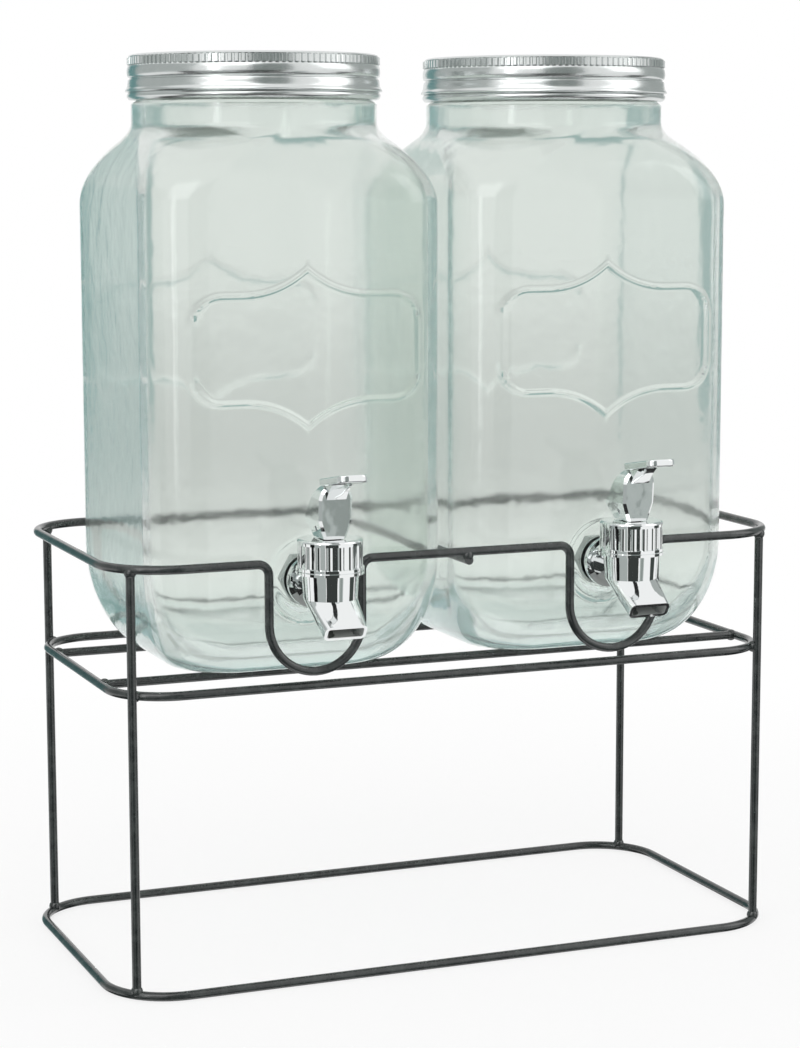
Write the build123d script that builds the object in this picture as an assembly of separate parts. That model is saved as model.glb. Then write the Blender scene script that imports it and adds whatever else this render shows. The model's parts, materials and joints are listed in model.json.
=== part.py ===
from build123d import *
import os
from math import cos, radians, sin, sqrt, tan

# Double drinks dispenser: two square glass jars with screw lids and lever taps, on a wire rack.
# Sizes are in millimetres. The front is -Y, up is +Z, and zero is the rack's middle on the floor.

# Rack: one gauge of round wire, sized along the wire's centre line
wire_d = 4.0
room_beside_jars = 20.8
room_round_jars = 10.8
ring_corner_r = 30.0
top_ring_height = 190.0
shelf_height = 134.4
rail_inset = 4.5
drop_width = 43.0
drop_depth = 48.6
drop_bend_r = 5.0
weld_r = 2.7
weld_bite = 0.3

# Glass jar, square with round corners, a curved heel and a round neck
jar_side = 138.0
jar_gap = 6.0
jar_forward = 3.0
jar_corner_r = 24.0
base_side = 88.0
base_corner_r = 26.0
heel_height = 49.0
body_height = 205.6
shoulder_rise = 33.0
neck_rise = 32.0
glass_wall = 4.5
base_thickness = 9.0
kick_up_r = 30.0
kick_up_depth = 2.0
seam_clearance = 2.0
finish_d = 107.2
finish_height = 19.0
finish_wall = 4.2
neck_step = 1.8
rim_fillet = 1.4
seat_gap = 0.2

# Raised outline on the front and back of the glass: a panel with round corners and two peaks
panel_width = 104.0
panel_height = 46.0
panel_peak_rise = 11.0
panel_peak_width = 56.0
panel_peak_sag = 2.6
panel_corner_r = 13.0
panel_middle = 145.4
panel_line_width = 2.2
panel_line_stand = 0.9

# Screw lid of thin plate, with its sealing disc
lid_thread_room = 2.0
lid_wall = 1.4
lid_height = 20.0
lid_plate = 0.8
lid_corner_r = 1.6
knurl_height = 5.4
knurl_depth = 0.6
knurl_count = 120
band_step = 0.4
groove_width = 1.4
groove_depth = 0.6
second_band_height = 3.2
bead_stand = 1.0
bead_height = 3.2
curl_height = 1.8
curl_lip = 0.6
liner_thickness = 1.2
liner_clearance = 0.6
lid_gap = 0.3

# Tap: hole in the glass, flange, threaded shank, nut and washers
tap_height = 44.1
boss_d = 36.0
boss_stand = 0.8
shank_d = 15.0
shank_hole_clearance = 0.5
shank_bore_d = 8.4
shank_past_nut = 3.0
flange_d = 23.0
flange_thickness = 2.4
flange_step_d = 18.0
flange_step_length = 1.6
neck_piece_d = 13.0
washer_d = 22.0
washer_thickness = 1.5
nut_d = 24.0
nut_thickness = 5.0
nut_side_count = 6
nut_pocket_clearance = 1.0

# Tap: barrel, spout and bonnet
barrel_reach = 25.2
barrel_bottom_d = 23.4
barrel_top_d = 24.8
barrel_top_rise = 6.8
barrel_bottom_drop = 4.1
chamber_d = 16.0
seat_drop = 5.2
outlet_d = 8.0
spigot_d = 21.2
spigot_length = 9.7
mouth_width = 19.0
mouth_depth = 7.5
mouth_corner_r = 2.4
mouth_reach = 18.5
mouth_drop = 12.2
mouth_tilt = 32.0
mouth_lip = 1.4
bonnet_d = 28.4
bonnet_height = 15.2
bonnet_rim_stand = 0.5
bonnet_rim_ring = 1.2
bonnet_rim_gap = 0.5
bonnet_rib_count = 16
bonnet_rib_r = 2.0
bonnet_rib_stand = 0.6
bonnet_band_stand = 0.75
bonnet_top_band = 2.4
bonnet_top_fillet = 1.2
bonnet_roof = 5.2
bonnet_thread_clearance = 0.1

# Tap: valve stem, seal, spring, pin and lever
stem_d = 5.0
stem_guide_clearance = 0.1
stem_crown_r = 2.3
stem_collar_d = 12.0
stem_collar_thickness = 1.6
seal_d = 13.0
seal_thickness = 3.0
spring_wire_d = 0.9
spring_d = 11.0
spring_turns = 5
spring_end_gap = 0.1
pin_d = 2.4
pin_hole_clearance = 0.05
pin_rise = 4.0
lever_foot_gap = 0.3
lever_foot_front = 7.0
lever_foot_back = 6.5
lever_belly_back = 11.5
lever_belly_rise = 6.7
lever_foot_width = 10.0
lever_width = 15.2
lever_widest_rise = 8.0
lever_rise = 24.0
lever_lean = 1.5
lever_top_depth = 5.5
lever_slot_clearance = 0.35
lever_slot_front = 5.4
lever_edge_chamfer = 1.2
tab_edge_r = 0.8
lever_gusset_r = 7.0
lever_gusset_width = 9.0
tab_width = 13.6
tab_length = 28.0
tab_thickness = 3.3
tab_tilt = 9.5
tab_corner_r = 4.0

# Overrun of a cutting tool past the face it cuts, and the shortest straight run between two bends
overrun = 2.0
shortest_run = 0.05

# Shares of a quarter turn, and of the shoulder's rise, at which the jar's form has a section
heel_shares = (0.0, 0.2, 0.4, 0.6, 0.8, 1.0)
shoulder_shares = (0.0, 0.2, 0.4, 0.6, 0.78, 0.92)
straight_end_share = 0.06
weld_rise_share = 0.8
weld_pull_share = 0.6
outlet_corner_share = 0.45

# Shares of a knurl's pitch at which its crest starts and ends, and its valley starts and ends
knurl_crest_shares = (0.0, 0.5)
knurl_valley_shares = (0.62, 0.88)

# Places worked out from the sizes above
wire_r = wire_d / 2
jar_spacing = jar_side + jar_gap
ring_length = jar_spacing + jar_side + 2 * room_beside_jars
ring_depth = jar_side + 2 * room_round_jars
rail_spacing = base_side - 2 * rail_inset
bottom_ring_height = wire_r
leg_inset = ring_corner_r * (1 - sqrt(0.5))
leg_x = ring_length / 2 - leg_inset
leg_y = ring_depth / 2 - leg_inset
pressed_d = wire_d - weld_bite
shelf_length = ring_length - 2 * pressed_d
shelf_depth = ring_depth - 2 * pressed_d
shelf_corner_r = ring_corner_r - pressed_d
divider_height = top_ring_height - pressed_d
jar_base_z = shelf_height + wire_r + seat_gap
jar_y = -jar_forward
jar_half = jar_side / 2
jar_flat = jar_half - jar_corner_r
finish_r = finish_d / 2
neck_r = finish_r + neck_step
neck_bore_r = finish_r - finish_wall
lid_bore_r = finish_r + lid_thread_room
lid_r = lid_bore_r + lid_wall
rim_z = jar_base_z + body_height + shoulder_rise + neck_rise
panel_z = jar_base_z + panel_middle
finish_z = rim_z - finish_height
tap_z = jar_base_z + tap_height
heel_seam_z = tap_z + boss_d / 2 + seam_clearance
shoulder_seam_z = jar_base_z + body_height
ledge_z = shoulder_seam_z + shoulder_rise * shoulder_shares[-1]
boss_face_y = jar_y - jar_half - boss_stand
inner_wall_y = jar_y - jar_half + glass_wall
flange_back_y = boss_face_y - washer_thickness
axis_y = boss_face_y - barrel_reach
nut_back_y = inner_wall_y + washer_thickness + nut_thickness
barrel_top_z = tap_z + barrel_top_rise
barrel_bottom_z = tap_z - barrel_bottom_drop
valve_seat_z = tap_z - seat_drop
bonnet_top_z = barrel_top_z + bonnet_height
bonnet_ceiling_z = bonnet_top_z - bonnet_roof
seal_z = valve_seat_z + seat_gap
collar_z = seal_z + seal_thickness
spring_foot_z = collar_z + stem_collar_thickness
lever_foot_z = bonnet_top_z + lever_foot_gap
stem_r = stem_d / 2
pin_z = lever_foot_z + pin_rise
lid_top_z = rim_z + lid_gap + liner_thickness + lid_plate

# Solids that stand on their place instead of being centred on it
rest_align = (Align.CENTER, Align.CENTER, Align.MIN)


def cylinder_between(start, end, radius):
    """A round rod from one point to another."""
    along = Vector(*end) - Vector(*start)
    return extrude(Plane(origin=start, z_dir=along) * Circle(radius), along.length)


def ball(centre, radius, poles):
    """A round weld bead or other ball, with its poles along a direction that no wire's surface meets."""
    return Plane(origin=centre, z_dir=poles) * Sphere(radius)


def bend(before, corner, after, radius):
    """Start, middle and end of the arc that rounds a corner between two straight runs."""
    run_in = (corner - before).normalized()
    run_out = (after - corner).normalized()
    half_turn = radians(run_in.get_angle(run_out)) / 2
    setback = radius * tan(half_turn)
    inward = (run_out - run_in).normalized()
    middle = corner + inward * (radius / cos(half_turn) - radius)
    return corner - run_in * setback, middle, corner + run_out * setback


def closed_path(corners, radii):
    """A closed line of straight runs and tangent arcs."""
    points = [Vector(*corner) for corner in corners]
    count = len(points)
    bends = [
        bend(points[n - 1], points[n], points[(n + 1) % count], radii[n])
        for n in range(count)
    ]
    edges = []
    for n, (start, middle, end) in enumerate(bends):
        before = bends[n - 1][2]
        if (start - before).length > shortest_run:
            edges.append(Edge.make_line(before, start))
        edges.append(Edge.make_three_point_arc(start, middle, end))
    return Wire(edges)


def bent_wire(path):
    """Round wire swept along a path."""
    section = Plane(origin=path @ 0, z_dir=path % 0) * Circle(wire_r)
    return sweep(section, path=path)


def ring(length, depth, corner_r, height):
    """A plain ring of wire, a rectangle with round corners."""
    x, y = length / 2, depth / 2
    corners = [(-x, y, height), (-x, -y, height), (x, -y, height), (x, y, height)]
    return bent_wire(closed_path(corners, [corner_r] * len(corners)))


def make_top_ring():
    """The top ring, whose front bar drops in a U below each tap."""
    x, y, z = ring_length / 2, ring_depth / 2, top_ring_height
    half = drop_width / 2
    low = z - drop_depth
    corners, radii = [(-x, y, z), (-x, -y, z)], [ring_corner_r] * 2
    for middle in (-jar_spacing / 2, jar_spacing / 2):
        corners += [(middle - half, -y, z), (middle - half, -y, low)]
        corners += [(middle + half, -y, low), (middle + half, -y, z)]
        radii += [drop_bend_r, half, half, drop_bend_r]
    corners += [(x, -y, z), (x, y, z)]
    radii += [ring_corner_r] * 2
    return bent_wire(closed_path(corners, radii))


def welded_rod(start, end, wires):
    """A straight wire butted between two others, with a weld bead at each end."""
    first, last = Vector(*start), Vector(*end)
    along = (last - first).normalized()
    pull = along * wire_r * weld_pull_share
    rise = along * wire_r * weld_rise_share
    rod = cylinder_between(first + pull, last - pull, wire_r)
    rod += ball(first + rise, weld_r, along) + ball(last - rise, weld_r, along)
    for other in wires:
        rod -= other
    return rod


def make_rack():
    """Three rings, four legs, two shelf rails and the divider between the jars."""
    top_ring = make_top_ring()
    bottom_ring = ring(ring_length, ring_depth, ring_corner_r, bottom_ring_height)
    shelf_ring = ring(shelf_length, shelf_depth, shelf_corner_r, shelf_height)
    pieces = {"top_ring": top_ring, "bottom_ring": bottom_ring}
    inward = wire_r * sqrt(0.5)
    for side, x in (("left", -leg_x), ("right", leg_x)):
        for end, y in (("front", -leg_y), ("back", leg_y)):
            foot, head = (x, y, bottom_ring_height), (x, y, top_ring_height)
            leg = welded_rod(foot, head, (bottom_ring, top_ring))
            towards_x = -inward if x > 0 else inward
            towards_y = -inward if y > 0 else inward
            touch = (x + towards_x, y + towards_y, shelf_height)
            shelf_ring += ball(touch, weld_r, Axis.Y.direction)
            pieces[f"leg_{end}_{side}"] = leg
    for name in [name for name in pieces if name.startswith("leg")]:
        shelf_ring -= pieces[name]
    pieces["shelf_ring"] = shelf_ring
    for end, y in (("front", -rail_spacing / 2), ("back", rail_spacing / 2)):
        start, stop = (-shelf_length / 2, y, shelf_height), (shelf_length / 2, y, shelf_height)
        pieces[f"rail_{end}"] = welded_rod(start, stop, (shelf_ring,))
    bar_y = ring_depth / 2
    reach = bar_y + wire_r
    divider = cylinder_between((0, -reach, divider_height), (0, reach, divider_height), wire_r)
    for y in (-bar_y, bar_y):
        divider += ball((0, y, divider_height + wire_r), weld_r, Axis.Z.direction)
    pieces["divider"] = divider - top_ring
    return pieces


def square_section(height, half, flat):
    """A square with round corners, whose straight sides are twice flat long."""
    return Pos(0, 0, height) * RectangleRounded(2 * half, 2 * half, half - flat)


def vessel(low, base, half, flat, heel, straight_top, shoulder, neck):
    """The jar's form: a round heel out of a small base, straight sides and sloping shoulders."""
    base_half, base_flat = base
    straight_low = low + heel
    lap = (straight_top - straight_low) * straight_end_share
    heel_sections = []
    for share in heel_shares:
        angle = radians(90 * share)
        height = low + heel * (1 - cos(angle))
        out = sin(angle)
        section_half = base_half + (half - base_half) * out
        section_flat = base_flat + (flat - base_flat) * out
        heel_sections.append(square_section(height, section_half, section_flat))
    heel_sections.append(square_section(straight_low + lap, half, flat))
    shoulder_sections = [square_section(straight_top - lap, half, flat)]
    for share in shoulder_shares:
        height = straight_top + shoulder * share
        section_half = half - (half - neck) * share**2
        shoulder_sections.append(square_section(height, section_half, flat * (1 - share**2)))
    middle = square_section(straight_low + lap, half, flat)
    straight = extrude(middle, straight_top - straight_low - 2 * lap)
    return loft(heel_sections) + straight + loft(shoulder_sections)


def make_panel_line():
    """The raised outline on the front of the glass, following the round corners beside it."""
    half_width, half_height = panel_width / 2, panel_height / 2
    foot = panel_peak_width / 2
    run = half_width - panel_corner_r
    shoulder = half_height - panel_corner_r
    diagonal = panel_corner_r * sqrt(0.5)
    peak = half_height + panel_peak_rise
    sag_point = (foot / 2, half_height + panel_peak_rise / 2 - panel_peak_sag)
    quarter = Curve() + [
        ThreePointArc((0, peak), sag_point, (foot, half_height)),
        Line((foot, half_height), (run, half_height)),
        ThreePointArc((run, half_height), (run + diagonal, shoulder + diagonal), (half_width, shoulder)),
        Line((half_width, shoulder), (half_width, 0)),
    ]
    upper = quarter + mirror(quarter, Plane.YZ)
    panel = make_face(upper + mirror(upper, Plane.XZ))
    half_line = panel_line_width / 2
    band = offset(panel, half_line) - offset(panel, -half_line)
    wall_middle = jar_half - glass_wall / 2
    front = Plane(origin=(0, -wall_middle, panel_z), x_dir=(1, 0, 0), z_dir=(0, -1, 0))
    crest_half = jar_half + panel_line_stand
    crest = square_section(panel_z, crest_half, jar_flat)
    return extrude(front * band, jar_corner_r) & extrude(crest, peak + panel_line_width, both=True)


def make_jar_glass():
    """The glass, hollow, with raised outlines and a boss and a hole for the tap."""
    low, high = jar_base_z, jar_base_z + body_height
    base = (base_side / 2, base_side / 2 - base_corner_r)
    outside = vessel(low, base, jar_half, jar_flat, heel_height, high, shoulder_rise, neck_r)
    outside += Pos(0, 0, ledge_z) * Cylinder(neck_r, finish_z - ledge_z, align=rest_align)
    outside += Pos(0, 0, finish_z) * Cylinder(finish_r, finish_height, align=rest_align)
    inner_low = low + base_thickness
    inner_base = (base[0] - glass_wall, base[1])
    inside = vessel(
        inner_low,
        inner_base,
        jar_half - glass_wall,
        jar_flat,
        heel_height - base_thickness,
        high,
        shoulder_rise,
        neck_bore_r,
    )
    bore_length = rim_z - ledge_z + overrun
    inside += Pos(0, 0, ledge_z) * Cylinder(neck_bore_r, bore_length, align=rest_align)
    boss_back, boss_front = inner_wall_y - jar_y, boss_face_y - jar_y
    height = tap_z
    outside += cylinder_between((0, boss_back, height), (0, boss_front, height), boss_d / 2)
    pocket_r = nut_d / 2 + nut_pocket_clearance
    pocket_end = boss_back + nut_thickness + washer_thickness + shank_past_nut
    inside += cylinder_between((0, boss_back, height), (0, pocket_end, height), pocket_r)
    hole_r = shank_d / 2 + shank_hole_clearance
    hole_start = boss_front - overrun
    glass = outside - inside
    panel_line = make_panel_line()
    glass += [panel_line, Rot(0, 0, 180) * panel_line]
    glass -= cylinder_between((0, hole_start, height), (0, boss_back + overrun, height), hole_r)
    kick_ball_r = (kick_up_r**2 + kick_up_depth**2) / (2 * kick_up_depth)
    glass -= ball((0, 0, low + kick_up_depth - kick_ball_r), kick_ball_r, Axis.Z.direction)
    rim_edges = glass.edges().filter_by(GeomType.CIRCLE).group_by(Axis.Z)[-1]
    return Pos(0, jar_y, 0) * fillet(rim_edges, rim_fillet)


def cut_jar_glass():
    """The glass as a heel, a body, a shoulder and a neck, which meet face to face."""
    rest = make_jar_glass()
    neck_seam_z = ledge_z + seam_clearance
    seams = {"jar_heel": heel_seam_z, "jar_body": shoulder_seam_z, "jar_shoulder": neck_seam_z}
    glass = {}
    for name, height in seams.items():
        plane = Plane.XY.offset(height)
        glass[name] = split(rest, plane, keep=Keep.BOTTOM)
        rest = split(rest, plane, keep=Keep.TOP)
    return {**glass, "jar_neck": rest}


def make_knurl():
    """The ring of ridges round the lid's top."""
    valley_r = lid_r - knurl_depth - band_step
    points = []
    for n in range(knurl_count):
        for shares, radius in ((knurl_crest_shares, lid_r), (knurl_valley_shares, valley_r)):
            for share in shares:
                angle = radians(360 * (n + share) / knurl_count)
                points.append((radius * cos(angle), radius * sin(angle)))
    ridges = make_face(Polyline(*points, close=True)) - Circle(lid_bore_r)
    return extrude(ridges, knurl_height)


def make_lid_shell():
    """A pressed screw lid: knurled band, groove, bead and curled edge."""
    r, z = lid_r, lid_top_z
    bore = lid_bore_r
    band = r - band_step
    root = r - knurl_depth
    knurl_low = z - lid_corner_r - knurl_height
    low = z - lid_height
    bead_low = low + curl_height
    bead_high = bead_low + bead_height
    groove_low = bead_high + second_band_height
    groove_high = groove_low + groove_width
    bead_middle = (bead_low + bead_high) / 2
    ceiling = z - lid_plate
    outline = Polyline(
        (0, z), (root - lid_corner_r, z), (root, z - lid_corner_r), (root, knurl_low),
        (band, knurl_low - band_step), (band, groove_high), (band - groove_depth, groove_high),
        (band - groove_depth, groove_low), (band, groove_low), (band, bead_high),
    )
    bead = ThreePointArc((band, bead_high), (r + bead_stand, bead_middle), (band, bead_low))
    curl_r = bore + curl_lip
    curl_middle = low + curl_height / 2
    curl = ThreePointArc((band, bead_low), (band, curl_middle), (curl_r, low))
    inner = Polyline((curl_r, low), (bore, low), (bore, ceiling), (0, ceiling), (0, z))
    profile = Plane.XZ * make_face(outline + bead + curl + inner)
    shell = revolve(profile, Axis.Z) + Pos(0, 0, knurl_low) * make_knurl()
    return Pos(0, jar_y, 0) * shell


def make_lid_liner():
    """The soft sealing disc inside the lid."""
    radius = lid_bore_r - liner_clearance
    place = Pos(0, jar_y, rim_z + lid_gap)
    return place * Cylinder(radius, liner_thickness, align=rest_align)


def mouth_plane():
    """Plane of the spout's mouth, facing forward and down."""
    angle = radians(mouth_tilt)
    centre = (0, axis_y - mouth_reach, barrel_bottom_z - mouth_drop)
    return Plane(origin=centre, x_dir=(1, 0, 0), z_dir=(0, -cos(angle), -sin(angle)))


def make_tap_body():
    """Flange and shank, barrel and spout in one moulding, with the water way through it."""
    flange_front_y = flange_back_y - flange_thickness
    step_front_y = flange_front_y - flange_step_length
    shank_end_y = nut_back_y + shank_past_nut
    barrel_r, top_r = barrel_bottom_d / 2, barrel_top_d / 2
    lower, upper = Pos(0, axis_y, barrel_bottom_z), Pos(0, axis_y, barrel_top_z)
    body = loft([lower * Circle(barrel_r), upper * Circle(top_r)])
    body += upper * Cylinder(spigot_d / 2, spigot_length, align=rest_align)
    mouth = mouth_plane()
    lip = mouth * RectangleRounded(mouth_width, mouth_depth, mouth_corner_r)
    body += loft([lower * Circle(barrel_r), lip])
    rods = (
        (flange_back_y, shank_end_y, shank_d),
        (flange_back_y, flange_front_y, flange_d),
        (flange_front_y, step_front_y, flange_step_d),
        (step_front_y, axis_y, neck_piece_d),
    )
    for start, stop, diameter in rods:
        body += cylinder_between((0, start, tap_z), (0, stop, tap_z), diameter / 2)
    chamber_length = barrel_top_z + spigot_length - valve_seat_z + overrun
    body -= Pos(0, axis_y, valve_seat_z) * Cylinder(chamber_d / 2, chamber_length, align=rest_align)
    bore_end = (0, shank_end_y + overrun, tap_z)
    body -= cylinder_between((0, axis_y, tap_z), bore_end, shank_bore_d / 2)
    opening = RectangleRounded(
        mouth_width - 2 * mouth_lip, mouth_depth - 2 * mouth_lip, mouth_corner_r - mouth_lip
    )
    round_square = RectangleRounded(outlet_d, outlet_d, outlet_d * outlet_corner_share)
    outlet = Pos(0, axis_y, valve_seat_z) * round_square
    body -= loft([outlet, mouth * opening])
    return body


def make_tap_bonnet():
    """The ribbed cap nut on top of the barrel, which guides the stem."""
    radius = bonnet_d / 2
    core_r = radius - bonnet_band_stand
    foot = Pos(0, axis_y, barrel_top_z)
    band_foot = Pos(0, axis_y, bonnet_top_z - bonnet_top_band)
    top_band = band_foot * Cylinder(radius, bonnet_top_band, align=rest_align)
    bonnet = fillet(top_band.edges().group_by(Axis.Z)[-1], bonnet_top_fillet)
    bonnet += foot * Cylinder(core_r, bonnet_height - bonnet_top_band, align=rest_align)
    ring_step = bonnet_rim_ring + bonnet_rim_gap
    for lift in (0, ring_step):
        rim = Cylinder(radius + bonnet_rim_stand, bonnet_rim_ring, align=rest_align)
        bonnet += Pos(0, 0, lift) * foot * rim
    rib_low = ring_step + bonnet_rim_ring
    rib = Cylinder(bonnet_rib_r, bonnet_height - bonnet_top_band - rib_low, align=rest_align)
    rib_reach = core_r + bonnet_rib_stand - bonnet_rib_r
    rib_places = PolarLocations(rib_reach, bonnet_rib_count)
    bonnet += [Pos(0, 0, rib_low) * foot * place * rib for place in rib_places]
    cavity = bonnet_ceiling_z - barrel_top_z
    bore_r = spigot_d / 2 + bonnet_thread_clearance
    bonnet -= foot * Cylinder(bore_r, cavity, align=rest_align)
    guide_r = stem_r + stem_guide_clearance
    return bonnet - foot * Cylinder(guide_r, bonnet_height + overrun, align=rest_align)


def make_tap_stem():
    """The valve stem, with a collar under the spring and a rounded eye for the pin."""
    stem = Pos(0, axis_y, collar_z) * Cylinder(stem_r, pin_z + stem_r - collar_z, align=rest_align)
    stem = fillet(stem.edges().group_by(Axis.Z)[-1], stem_crown_r)
    collar = Cylinder(stem_collar_d / 2, stem_collar_thickness, align=rest_align)
    stem += Pos(0, axis_y, collar_z) * collar
    return stem - cylinder_between((-stem_d, axis_y, pin_z), (stem_d, axis_y, pin_z), pin_d / 2)


def make_tap_seal():
    """The rubber disc that closes the valve seat."""
    return Pos(0, axis_y, seal_z) * Cylinder(seal_d / 2, seal_thickness, align=rest_align)


def helix_point(radius, pitch, low, turns):
    """A point of a helix about the tap's axis, and the direction of the helix there."""
    angle = radians(360 * turns)
    slope = pitch / radians(360)
    place = Vector(radius * cos(angle), axis_y + radius * sin(angle), low + pitch * turns)
    return place, Vector(-radius * sin(angle), radius * cos(angle), slope).normalized()


def make_tap_spring():
    """The closing spring, an open coil between the stem's collar and the bonnet."""
    radius = (spring_d - spring_wire_d) / 2
    low = spring_foot_z + spring_end_gap + spring_wire_d / 2
    high = bonnet_ceiling_z - spring_end_gap - spring_wire_d / 2
    pitch = (high - low) / spring_turns
    edges = []
    halves = 2 * spring_turns
    for n in range(halves):
        start, run_in = helix_point(radius, pitch, low, n / 2)
        end, run_out = helix_point(radius, pitch, low, (n + 1) / 2)
        chord, turn = end - start, run_in + run_out
        across = chord.dot(turn)
        spare = 2 * (1 - run_in.dot(run_out))
        reach = (sqrt(across**2 + spare * chord.dot(chord)) - across) / spare
        joint = (start + end + (run_in - run_out) * reach) / 2
        first = Edge.make_tangent_arc(start, run_in, joint)
        edges += [first, Edge.make_tangent_arc(joint, first % 1, end)]
    path = Wire(edges)
    section = Plane(origin=path @ 0, z_dir=path % 0) * Circle(spring_wire_d / 2)
    return sweep(section, path=path)


def make_tap_pin():
    """The pin that carries the lever on the stem."""
    half = lever_foot_width / 2
    return cylinder_between((-half, axis_y, pin_z), (half, axis_y, pin_z), pin_d / 2)


def washer(front_y, thickness, diameter, bore_d):
    """A ring round the shank, from its front face back."""
    start, stop = (0, front_y, tap_z), (0, front_y + thickness, tap_z)
    plate = cylinder_between(start, stop, diameter / 2)
    return plate - cylinder_between(start, stop, bore_d / 2)


def make_tap_nut():
    """The six-sided nut that clamps the tap from inside the jar."""
    front = inner_wall_y + washer_thickness
    plane = Plane(origin=(0, front, tap_z), x_dir=(1, 0, 0), z_dir=(0, 1, 0))
    nut = extrude(plane * RegularPolygon(nut_d / 2, nut_side_count), nut_thickness)
    bore = cylinder_between((0, front, tap_z), (0, front + nut_thickness, tap_z), shank_d / 2)
    return nut - bore


def make_tap_lever():
    """The lever: a wedge that rocks on the bonnet, with a finger tab on top."""
    side = Plane(origin=(0, axis_y, lever_foot_z), x_dir=(0, -1, 0), z_dir=(-1, 0, 0))
    front_top = lever_foot_front + lever_lean
    outline = Polyline(
        (lever_foot_front, 0), (front_top, lever_rise), (front_top - lever_top_depth, lever_rise),
        (-lever_belly_back, lever_belly_rise), (-lever_foot_back, 0), close=True,
    )
    half = lever_width / 2
    wedge = extrude(side * make_face(outline), half, both=True)
    arch_z = lever_rise - half
    front = Plane(origin=(0, axis_y, lever_foot_z), x_dir=(1, 0, 0), z_dir=(0, -1, 0))
    foot_half = lever_foot_width / 2
    arch = ThreePointArc((half, arch_z), (0, lever_rise), (-half, arch_z))
    sides = Polyline(
        (-half, arch_z), (-half, lever_widest_rise), (-foot_half, 0), (foot_half, 0),
        (half, lever_widest_rise), (half, arch_z),
    )
    face = front * make_face(arch + sides)
    lever = wedge & extrude(face, 2 * lever_belly_back, both=True)
    front_edges = lever.faces().sort_by(Axis.Y)[0].edges().sort_by(Axis.Z)
    lever = chamfer(front_edges[1:], lever_edge_chamfer)
    root_rise = lever_rise - tab_thickness / 2
    root_z = lever_foot_z + root_rise
    root_y = axis_y - front_top + lever_top_depth
    rise = radians(tab_tilt)
    tab_plane = Plane(
        origin=(0, root_y, root_z), x_dir=(1, 0, 0), z_dir=(0, sin(rise), cos(rise))
    )
    plate = Pos(0, -tab_length / 2) * RectangleRounded(tab_width, tab_length, tab_corner_r)
    tab = extrude(tab_plane * plate, tab_thickness)
    lever += fillet(tab.edges().filter_by(tab_plane), tab_edge_r)
    web_low = (lever_foot_front, root_rise - lever_gusset_r)
    web_high = (lever_foot_front, lever_rise)
    tip_x = front_top + lever_gusset_r
    tip_rise = root_rise + (lever_gusset_r + lever_top_depth) * tan(rise)
    bow = lever_gusset_r * sqrt(0.5)
    hollow = ThreePointArc(web_low, (tip_x - bow, web_low[1] + bow), (tip_x, tip_rise))
    edges = Polyline((tip_x, tip_rise), (tip_x, tip_rise + tab_thickness / 2), web_high, web_low)
    lever += extrude(side * make_face(hollow + edges), lever_gusset_width / 2, both=True)
    slot_half = stem_r + lever_slot_clearance
    slot_length = lever_slot_front + slot_half
    slot_rise = pin_rise + slot_half
    slot = Box(2 * slot_half, slot_length, slot_rise, align=(Align.CENTER, Align.MIN, Align.MIN))
    lever -= Pos(0, axis_y - lever_slot_front, lever_foot_z) * slot
    hole_r = pin_d / 2 + pin_hole_clearance
    return lever - cylinder_between((-half, axis_y, pin_z), (half, axis_y, pin_z), hole_r)


def make_jar_set():
    """One jar with its lid and tap, centred on x = 0."""
    outer_bore = shank_d + 2 * shank_hole_clearance
    inner_bore = shank_d
    return {
        **cut_jar_glass(),
        "lid_shell": make_lid_shell(),
        "lid_liner": make_lid_liner(),
        "tap_body": make_tap_body(),
        "tap_bonnet": make_tap_bonnet(),
        "tap_stem": make_tap_stem(),
        "tap_seal": make_tap_seal(),
        "tap_spring": make_tap_spring(),
        "tap_pin": make_tap_pin(),
        "tap_lever": make_tap_lever(),
        "tap_outer_washer": washer(flange_back_y, washer_thickness, washer_d, outer_bore),
        "tap_inner_washer": washer(inner_wall_y, washer_thickness, washer_d, inner_bore),
        "tap_nut": make_tap_nut(),
    }


pieces = make_rack()
jar_set = make_jar_set()
for side, x in (("left", -jar_spacing / 2), ("right", jar_spacing / 2)):
    for name, solid in jar_set.items():
        pieces[f"{side}_{name}"] = Pos(x, 0, 0) * solid

os.makedirs("parts", exist_ok=True)
for name, solid in pieces.items():
    export_step(solid, f"parts/{name}.step")
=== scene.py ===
import bpy
import json
import numpy as np
from math import pi, radians, sqrt, tau
from mathutils import Euler, Matrix, Vector


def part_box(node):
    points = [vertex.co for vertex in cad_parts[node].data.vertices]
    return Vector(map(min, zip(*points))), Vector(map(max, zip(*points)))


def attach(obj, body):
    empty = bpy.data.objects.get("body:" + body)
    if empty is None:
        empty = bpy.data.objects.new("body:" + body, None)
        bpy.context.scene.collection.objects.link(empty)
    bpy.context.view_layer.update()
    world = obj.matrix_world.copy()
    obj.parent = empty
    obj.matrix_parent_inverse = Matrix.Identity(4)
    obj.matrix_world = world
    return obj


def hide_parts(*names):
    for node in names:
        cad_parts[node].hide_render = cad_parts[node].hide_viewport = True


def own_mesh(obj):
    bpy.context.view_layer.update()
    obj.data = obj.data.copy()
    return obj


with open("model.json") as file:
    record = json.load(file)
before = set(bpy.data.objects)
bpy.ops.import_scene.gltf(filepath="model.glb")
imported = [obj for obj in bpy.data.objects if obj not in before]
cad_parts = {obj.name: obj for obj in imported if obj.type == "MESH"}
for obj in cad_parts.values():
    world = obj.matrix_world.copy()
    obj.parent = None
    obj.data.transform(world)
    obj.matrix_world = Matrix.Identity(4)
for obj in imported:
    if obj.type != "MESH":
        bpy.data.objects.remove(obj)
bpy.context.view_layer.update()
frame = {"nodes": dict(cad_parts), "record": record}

# Lengths are in metres, in the part's own frame: the front is -Y, up is +Z
SIDES = ("left", "right")
GLASS_NODES = ("jar_heel", "jar_body", "jar_shoulder", "jar_neck")

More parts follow.
